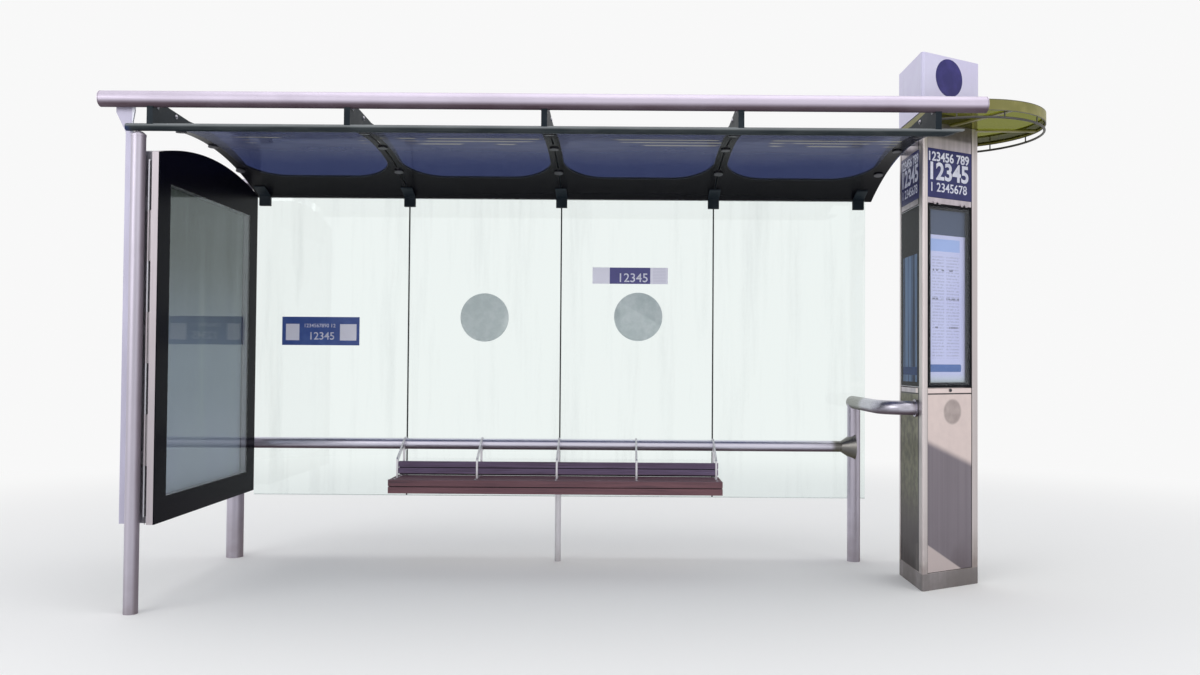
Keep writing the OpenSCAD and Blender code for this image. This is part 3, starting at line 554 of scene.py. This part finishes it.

# The rear rail and the arm rail are stainless tubes, brushed along their length. They carry the wall,
# the bench and the end of the totem, and their undersides carry painted shade. The rail's flared end is
# darkened olive by a painted reflection of grass, and the arm rail grows darker towards its bend.
FLARE_START, FLARE_FULL, BEND_START, BEND_FULL = 4.12, 4.17, 1.15, 1.3
rail_steel = brushed_steel("rail_steel", "X", (0.70, 0.68, 0.79), 0.22, under_shade=1.1, reflection_band_depth=0.1)
# Painted reflection of grass: olive on the rail's flared end.
overlay(rail_steel, rail_steel.axes()[0].ramp(FLARE_START, FLARE_FULL) * 0.8, (0.1, 0.095, 0.055))
dress(rail_steel, "rear_rail")
arm_rail_steel = brushed_steel("arm_rail_steel", "Y", (0.56, 0.54, 0.62), 0.2, under_shade=1.0, reflection_band_depth=0.3)
overlay(arm_rail_steel, arm_rail_steel.axes()[1].ramp(BEND_START, BEND_FULL) * 0.85, (0.16, 0.16, 0.13))
dress(arm_rail_steel, "arm_rail")

# The posts are stainless tubes with domed tops, brushed along their height. They carry painted shade
# on the right, are splashed with mud near the ground, and are set in it without a visible flange.
post_steel = brushed_steel("post_steel", "Z", (0.55, 0.515, 0.60), 0.36, side=0.75, mud=0.35, reflection_band_depth=0.3)
dress(post_steel, "front_left_post", "rear_left_post", "right_post")

# The poster case has a silver core between two glazed faces. A light blue-grey upright closes its
# outer front corner, and a long piano hinge carries the inner door, whose frame is anodised silver.
LIP_OUTER, LIP_INNER = -0.058, -0.052
SEAL_LOW, SEAL_TOP = (0.0655, -0.0007, 0.482), (0.0685, 0.0008, 2.47)
CASE_MID_Y, POSTER_MID_Z, POSTER_HALF_Y, POSTER_HALF_Z, POSTER_CORNER = 0.73, 1.492, 0.5905, 0.8725, 0.004
case_silver = brushed_steel("case_silver", "Z", (0.52, 0.52, 0.56), 0.35, reflection_band_depth=0.2)
dress(case_silver, "case_core", "case_hinge")
dress(brushed_steel("door_silver", "Z", (0.47, 0.43, 0.46), 0.4, reflection_band_depth=0.15), "case_door")
upright_paint = Finish("upright_paint", {"Metallic": 0.25})
chalk = upright_paint.noise((12, 12, 2), 4.0)
lip = upright_paint.axes()[0].ramp(LIP_OUTER, LIP_INNER)
upright_tone = upright_paint.mix(chalk.ramp(0.35, 0.7), (0.45, 0.43, 0.55), (0.52, 0.5, 0.64))
upright_paint.put({
    "Base Color": upright_paint.mix(lip * 0.8, upright_tone, (0.8, 0.82, 0.9)),
    "Roughness": 0.3 + chalk * 0.2,
    "Normal": upright_paint.bump(chalk, 0.0003, 0.3),
})
dress(upright_paint, "case_upright")
seal = bmesh.new()
plate(seal, SEAL_LOW, SEAL_TOP, THIN_EDGE)
link("door_seal", seal, black_rubber, "case_door_leaf", "display_black")
case_glass = glass_finish("case_glass", (0.93, 0.96, 0.965), grow=0.5)
y, z = case_glass.axes()[1:]
poster_edge = rounded_window(y - CASE_MID_Y, z - POSTER_MID_Z, POSTER_HALF_Y, POSTER_HALF_Z, POSTER_CORNER)
smear = case_glass.noise((3, 3, 1.2), 3.0).ramp(0.55, 0.85) * 0.05
case_tone = case_glass.mix(poster_edge, (0.5, 0.52, 0.5), (0.002, 0.0018, 0.005))
printed(case_glass, poster_edge.most(smear), case_tone)
dress(case_glass, "case_door_glass", "case_outer_glass")

# The printed sheets are paper, laid behind the glass. The case holds plain grey posters, bluer towards
# their foot, with soft upright streaks of painted reflection. The totem holds pale sheets with a light
# blue title, two columns of fine rows and a blue bar, between a dark head and foot.
TOTEM, SLOT_SHIFT, FRONT_TURN = Vector((4.641, 0.889, 0)), -0.010, math.radians(30)
CORNER_Y, CORNER_SLOPE, POSTERS_END = 0.86, 0.577, 2.0
POSTER_FOOT, POSTER_HEAD, SHEET_FOOT = (0.7, 1.3), (1.35, 2.1), (1.24, 1.34)
COLUMN_1, COLUMN_2, ROWS_A_METRE, ROWS_LOW, ROWS_TOP = (-0.125, -0.02), (0.0, 0.115), 52.0, 1.42, 2.06
HEADS_A_METRE, HEADS_LOW, HEADS_TOP = 5.6, 1.5, 2.0
TITLE_LEFT, TITLE_RIGHT, TITLE_LOW, TITLE_TOP = -0.17, 0.12, 2.088, 2.165
BAR_LEFT_BY, BAR_MID_Z, BAR_HALF_X, BAR_HALF_Z, BAR_CORNER = 0.012, 1.359, 0.145, 0.0235, 0.012
SHEET_LOW, SHEET_TOP = 1.268, 2.19


def totem_place(finish):
    """Whether a point is on the totem's front, and how far right of its front's and left face's middle."""
    x, y = finish.axes()[:2]
    on_front = y < CORNER_Y + (x - TOTEM.x) * CORNER_SLOPE
    along_front = (x - TOTEM.x) * math.cos(FRONT_TURN) + (y - TOTEM.y) * math.sin(FRONT_TURN)
    return on_front, along_front, TOTEM.y - y


paper = Finish("paper", {"Roughness": 0.75})
x, z = paper.axes()[::2]
fade = paper.noise((1.5, 2.5, 0.9), 3.0)
# Soft upright streaks of painted reflection on the posters.
reflection_streaks = paper.noise((7, 7, 0.5), 2.0).ramp(0.5, 0.75) * 0.3
poster = paper.mix(z.ramp(*POSTER_HEAD), (0.22, 0.245, 0.30), (0.07, 0.073, 0.062))
poster = paper.mix(z.ramp(*POSTER_FOOT), (0.29, 0.30, 0.38), poster)
poster = paper.mix(reflection_streaks + fade.ramp(0.45, 0.8) * 0.15, poster, (0.36, 0.4, 0.36))
on_front, along_front, along_left = totem_place(paper)
along = (along_front - SLOT_SHIFT) * on_front + (along_left - SLOT_SHIFT) * (1.0 - on_front)
sheet = paper.mix(fade.ramp(0.3, 0.7), (0.60, 0.60, 0.86), (0.72, 0.73, 0.95))
sheet = paper.mix(z.ramp(*SHEET_FOOT), (0.66, 0.74, 0.68), sheet)
columns = along.between(*COLUMN_1) + along.between(*COLUMN_2)
ticks = paper.noise((160, 160, 60), 2.0) > 0.47
rows = ((z * ROWS_A_METRE) % 1.0 > 0.5) * columns * ticks * z.between(ROWS_LOW, ROWS_TOP)
sheet = paper.mix(rows * 0.38, sheet, (0.2, 0.2, 0.32))
heads = columns * ((z * HEADS_A_METRE) % 1.0 < 0.06) * z.between(HEADS_LOW, HEADS_TOP)
sheet = paper.mix(heads * (paper.noise((40, 40, 5)) > 0.5) * 0.7, sheet, (0.06, 0.06, 0.1))
title = z.between(TITLE_LOW, TITLE_TOP) * along.between(TITLE_LEFT, TITLE_RIGHT)
sheet = paper.mix(title, sheet, (0.4, 0.52, 0.86))
bar = rounded_window(along + BAR_LEFT_BY, z - BAR_MID_Z, BAR_HALF_X, BAR_HALF_Z, BAR_CORNER)
sheet = paper.mix(bar, (0.075, 0.16, 0.42), sheet)
sheet = paper.mix(z > SHEET_TOP, sheet, (0.055, 0.078, 0.14))
sheet = paper.mix(z < SHEET_LOW, sheet, (0.012, 0.012, 0.018))
paper.put({"Base Color": paper.mix(x > POSTERS_END, poster, sheet)})
dress(paper, "notice_sheets")

# Five plates carry the bench from the rear rail, and the middle one stands on a leg. They are cut from
# stainless plate and ground bright along their thin edges. Mud has splashed the leg.
dress(brushed_steel("bench_steel", "Z", (0.72, 0.70, 0.74), 0.3, mud=0.3, reflection_band_depth=0.2), "bench_frame")

# The bench's boards are stained timber, weathered to a purple brown, with open grain. Dark strips
# stand in the gaps between boards as painted shade, and coach bolts hold the seat to the five plates.
BOARD_LEFT, BOARD_RIGHT, BACK_LOW, BACK_FULL = 1.115, 3.335, 0.585, 0.61
STRIPS = ((1.18, 0.5435, 0.5505), (1.488, 0.6375, 0.6455), (1.488, 0.589, 0.6005))
STRIP_LEFT, STRIP_RIGHT, STRIP_DEEP = BOARD_LEFT + 0.004, BOARD_RIGHT - 0.004, 0.01
PLATES_IN_BENCH, FIRST_PLATE, PLATE_STEP = 5, 1.145, 0.54
SEAT_MIDDLES, SEAT_TOP, BOARD_BOLT = (1.228, 1.298, 1.368, 1.438), 0.59, 0.0055
wood = Finish("bench_wood")
grain = wood.noise((3.0, 150, 150), 5.0, 0.6)
tone = wood.noise((0.9, 14, 14), 3.0)
seat_tone = wood.mix(tone.ramp(0.3, 0.7), (0.115, 0.048, 0.062), (0.17, 0.075, 0.09))
back_tone = wood.mix(tone.ramp(0.3, 0.7), (0.125, 0.082, 0.155), (0.19, 0.14, 0.25))
board = wood.mix(wood.axes()[2].ramp(BACK_LOW, BACK_FULL), seat_tone, back_tone)
wood.put({
    "Base Color": wood.mix(grain.ramp(0.48, 0.76) * 0.8, board, (0.045, 0.03, 0.042)),
    "Roughness": 0.5 + grain * 0.3,
    "Normal": wood.bump(grain, 0.0012, 0.6),
})
dress(wood, "bench_boards")
# Dark strips set in the gaps between boards as painted shade, where the floor would show through.
gap_shades = bmesh.new()
for front, low, top in STRIPS:
    plate(gap_shades, (STRIP_LEFT, front, low), (STRIP_RIGHT, front + STRIP_DEEP, top), EDGE)
link("board_gap_shades", gap_shades, black_rubber, "frame", "display_black")
board_bolts = bmesh.new()
for rib in range(PLATES_IN_BENCH):
    for middle in SEAT_MIDDLES:
        dome_bolt(board_bolts, (FIRST_PLATE + rib * PLATE_STEP, middle, SEAT_TOP), (0, 0, 1), BOARD_BOLT)
link("board_bolts", board_bolts, bolt_steel, "frame", "brushed_steel")

# The totem: stainless stiles and cassettes, brushed upright, on a column and a plinth.
# The displays are black frames with glass. The base carries painted shade low down and painted light
# above, with a pale patch at its foot and a round stain. The head panels carry painted shade.
PLINTH_LOW, PLINTH_TOP, DEEP_SHADE_LOW, DEEP_SHADE_TOP, BASE_LOW, BASE_TOP = 0.1, 0.106, 0.3, 0.75, 1.19, 1.21
SUNLIT_END, SUNLIT_TOP, LEFT_END, HEAD_LOW, HEAD_TOP = 1.235, 1.24, 4.5, 2.775, 2.80
MARK_S, MARK_Z, MARK_IN, MARK_OUT = 0.013, 1.088, 0.068, 0.086
SUNLIT_LOW, SUNLIT_FULL, SUNLIT_SLOPE, LOW_PATCH_SLOPE, LOW_PATCH_AT, LOW_PATCH_SOFT = 0.80, 0.855, 0.39, 0.58, 0.16, 0.006
RIM_START, RIM_LOW, RIM_TOP, FOOT_RIM = 0.1935, 1.196, 1.2045, 0.1085
SCREEN_MID_Z, SCREEN_HALF, SCREEN_HALF_Z, SCREEN_LINE = 1.6725, 0.15, 0.40, (1.315, 1.365)
SIDE_MID_Z, SIDE_HALF, SIDE_HALF_Z, SIDE_CORNER = 1.8075, 0.193, 0.5625, 0.004
totem_steel = brushed_steel("totem_steel", "Z", (0.66, 0.60, 0.60), 0.3, mud=1.0, reflection_band_depth=0.35)
overlay(totem_steel, totem_steel.axes()[2].ramp(PLINTH_LOW, PLINTH_TOP, 0.7, 0.0), (0.17, 0.16, 0.165))
dress(totem_steel, "totem_stiles", "totem_column")
panel_steel = brushed_steel("panel_steel", "Z", (0.52, 0.47, 0.51), 0.3, mud=0.8, reflection_band_depth=0.3)
x, z = panel_steel.axes()[::2]
on_front, along_front, along_left = totem_place(panel_steel)
u, v = along_front - MARK_S, z - MARK_Z
round_mark = ((u * u + v * v) ** 0.5).ramp(MARK_IN, MARK_OUT, 1.0, 0.0) * on_front
stain_and_light_blots = panel_steel.noise((18, 18, 18), 4.0)
# Painted light: a pinkish patch on the front of the base, the reflection of sunlit ground, above a sloping
# edge and up to the base's top.
sunlit_patch = (z + along_front * SUNLIT_SLOPE).ramp(SUNLIT_LOW, SUNLIT_FULL)
sunlit_patch = sunlit_patch * z.ramp(SUNLIT_END, SUNLIT_TOP, 1.0, 0.0) * on_front * (0.9 - stain_and_light_blots * 0.2)
# A pale pinkish patch low on the front, below a sloping line.
low_pale_patch = (LOW_PATCH_AT - along_front * LOW_PATCH_SLOPE - z).ramp(-LOW_PATCH_SOFT, LOW_PATCH_SOFT) * on_front
# Painted shade for the left face of the base: olive, darkest near the ground.
shaded_base = panel_steel.mix(stain_and_light_blots.ramp(0.35, 0.65), (0.085, 0.08, 0.045), (0.19, 0.185, 0.11))
shaded_base = panel_steel.mix(z.ramp(DEEP_SHADE_LOW, DEEP_SHADE_TOP), (0.05, 0.042, 0.04), shaded_base)
# Painted shade: the base is darker below its top rim.
overlay(panel_steel, z.ramp(BASE_LOW, BASE_TOP, 0.75, 0.0), (0.125, 0.108, 0.13))
overlay(panel_steel, sunlit_patch, (0.78, 0.66, 0.63))
overlay(panel_steel, low_pale_patch * 0.85, (0.58, 0.5, 0.49))
overlay(panel_steel, (x < LEFT_END) * z.ramp(BASE_LOW, BASE_TOP, 0.9, 0.0), shaded_base)
# Painted shade on the head panels, under the roof.
overlay(panel_steel, z.ramp(HEAD_LOW, HEAD_TOP) * (0.5 + stain_and_light_blots * 0.4), (0.07, 0.06, 0.065))
overlay(panel_steel, round_mark * (0.3 + stain_and_light_blots * 0.45), (0.16, 0.13, 0.125))
from_middle = abs(along_front - SLOT_SHIFT) * on_front + abs(along_left - SLOT_SHIFT) * (1.0 - on_front)
rim = (from_middle > RIM_START).most(z.between(RIM_LOW, RIM_TOP)).most(z < FOOT_RIM)
overlay(panel_steel, rim, (0.02, 0.018, 0.02))
panel_steel.put({"Metallic": 1.0 - rim.most(round_mark * 0.4)})
dress(panel_steel, "totem_panels")
frame_black = Finish("frame_black", {"Specular IOR Level": 0.06})
grime_and_painted_shade = frame_black.noise((14, 14, 14), 4.0)
frame_black.put({
    "Base Color": frame_black.mix(grime_and_painted_shade.ramp(0.45, 0.8), (0.004, 0.0045, 0.007), (0.008, 0.009, 0.013)),
    "Roughness": 0.35 + grime_and_painted_shade * 0.2,
})
dress(frame_black, "totem_door")
side_glass = Finish("side_glass", {"Specular IOR Level": 0.02})
x, y, z = side_glass.axes()
across = TOTEM.y - y - SLOT_SHIFT
bars = side_glass.noise((1, 34, 0.6), 2.0)
shade = side_glass.mix(bars.ramp(0.38, 0.62), (0.018, 0.03, 0.065), (0.13, 0.21, 0.36))
shade = side_glass.mix(z.between(*SCREEN_LINE), shade, (0.02, 0.05, 0.15))
edge = rounded_window(across, z - SCREEN_MID_Z, SCREEN_HALF, SCREEN_HALF_Z, SIDE_CORNER)
shade = side_glass.mix(edge, shade, (0.006, 0.007, 0.012))
rims = rounded_window(across, z - SIDE_MID_Z, SIDE_HALF, SIDE_HALF_Z, SIDE_CORNER) * (x < LEFT_END)
side_glass.put({
    "Base Color": side_glass.mix(rims, shade, (0.42, 0.42, 0.44)),
    "Roughness": 0.1 + bars * 0.15,
})
dress(side_glass, "totem_side_display")
door_glass = glass_finish("door_glass", (0.96, 0.97, 0.985), grow=0.5)
printed(door_glass, door_glass.noise((5, 5, 5)) * 0.02, (0.7, 0.72, 0.8))
dress(door_glass, "totem_door_glass")

# The signs above the displays are blue enamelled plates, let into the totem's front and left faces.
# White figures in three rows are laid on each: a large number with a smaller row above and below.
FIGURE_OUT, FIGURE_LEFT_BY = 0.1443, 0.012
SIGN_ROWS = (("number", "12345", 0.148, 2.575, 0.0042),
             ("head", "123456 789", 0.078, 2.668, 0.002),
             ("foot", "1 2345678", 0.078, 2.478, 0.0008))
front_face = Matrix.Translation(TOTEM) @ Matrix.Rotation(FRONT_TURN, 4, "Z")
left_face = Matrix.Translation(TOTEM) @ Matrix.Rotation(math.radians(-90), 4, "Z")
sign_blue = Finish("sign_blue", {"Specular IOR Level": 0.3})
dust = sign_blue.noise((8, 8, 8), 4.0)
sign_blue.put({
    "Base Color": sign_blue.mix(dust.ramp(0.45, 0.8), (0.018, 0.02, 0.11), (0.032, 0.034, 0.15)),
    "Roughness": 0.25 + dust * 0.2,
})
dress(sign_blue, "totem_signs")
for side, face in (("front", front_face), ("left", left_face)):
    for row, text, size, height, bold in SIGN_ROWS:
        spot = face @ Matrix.Translation((SLOT_SHIFT - FIGURE_LEFT_BY, -FIGURE_OUT, height))
        numbers(f"{side}_sign_{row}", text, size, spot, bold)

# The door's lock is a turned barrel of dark steel in the middle rail, with its key slot.
# It is pressed into the rail, and stays there when the door swings up.
LOCK_AT, BARREL_R, BARREL_TOP_R, BARREL_OUT = (-0.006, -0.1462, 1.2215), 0.011, 0.0095, 0.003
KEY_HALF, KEY_HALF_LONG, KEY_LOW, KEY_TOP = 0.0015, 0.007, 0.0028, 0.0036
lock = bmesh.new()
spot = front_face @ Matrix.Translation(LOCK_AT) @ Matrix.Rotation(math.pi / 2, 4, "X")
barrel = bmesh.ops.create_cone(lock, cap_ends=True, segments=24, radius1=BARREL_R, radius2=BARREL_TOP_R,
                               depth=BARREL_OUT)["verts"]
bmesh.ops.transform(lock, matrix=spot @ Matrix.Translation((0, 0, BARREL_OUT / 2)), verts=barrel)
plate(lock, (-KEY_HALF, -KEY_HALF_LONG, KEY_LOW), (KEY_HALF, KEY_HALF_LONG, KEY_TOP), THIN_EDGE, spot)
link("totem_lock", lock, stud_steel, "frame", "brushed_steel")

# The cap is a white enamelled box of sheet metal that follows the totem's triangle and closes its top.
# Rain has left faint streaks on it. A plain blue disc, cut from film, is stuck on its front.
DISC_AT, DISC_R, DISC_THICK = (-0.0245, -0.1511, 3.1725), 0.1185, 0.0006
cap_white = Finish("cap_white", {"Coat Weight": 0.25})
dust = cap_white.noise((4, 4, 4), 4.0)
cap_streaks = cap_white.noise((16, 16, 1.2), 3.0)
cap_tone = cap_white.mix(dust.ramp(0.3, 0.75), (0.62, 0.58, 0.80), (0.68, 0.66, 0.86))
cap_white.put({
    "Base Color": cap_white.mix(cap_streaks.ramp(0.55, 0.8) * 0.25, cap_tone, (0.5, 0.48, 0.62)),
    "Roughness": 0.3 + dust * 0.2,
})
dress(cap_white, "totem_cap")
badge_blue = Finish("badge_blue", {"Specular IOR Level": 0.3})
dust = badge_blue.noise((15, 15, 15), 4.0)
badge_blue.put({
    "Base Color": badge_blue.mix(dust.ramp(0.4, 0.75), (0.022, 0.018, 0.14), (0.04, 0.032, 0.2)),
    "Roughness": 0.3 + dust * 0.2,
})
badge = bmesh.new()
flat_disc(badge, front_face @ Matrix.Translation(DISC_AT), DISC_R, DISC_THICK)
link("cap_disc", badge, badge_blue, "frame", "sign_blue")

# The crown ring: a rolled band with an olive satin paint and dark edges, a dark hoop hung below it
# on spacers, and a sheet of olive glass between.
BAND_MID, EDGE_START, EDGE_FULL = 2.9005, 0.0285, 0.031
ring_paint = Finish("ring_paint", {"Specular IOR Level": 0.3})
dust = ring_paint.noise((7, 7, 7), 4.0)
edges = abs(ring_paint.axes()[2] - BAND_MID).ramp(EDGE_START, EDGE_FULL)
ring_tone = ring_paint.mix(dust.ramp(0.35, 0.7), (0.17, 0.16, 0.04), (0.27, 0.245, 0.085))
ring_paint.put({
    "Base Color": ring_paint.mix(edges * 0.8, ring_tone, (0.06, 0.055, 0.06)),
    "Roughness": 0.35 + dust * 0.2,
    "Normal": ring_paint.bump(dust, 0.0004, 0.3),
})
dress(ring_paint, "ring_band")
dress(brushed_steel("hoop_steel", "Z", (0.10, 0.095, 0.09), 0.4), "ring_hoop")
ring_glass = glass_finish("ring_glass", (0.42, 0.43, 0.14), (0.6, 0.62, 0.5), grow=0.25)
printed(ring_glass, ring_glass.noise((6, 6, 6), 4.0).ramp(0.5, 0.9) * 0.2, (0.28, 0.28, 0.09), 0.8)
dress(ring_glass, "ring_glass")

low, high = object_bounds()
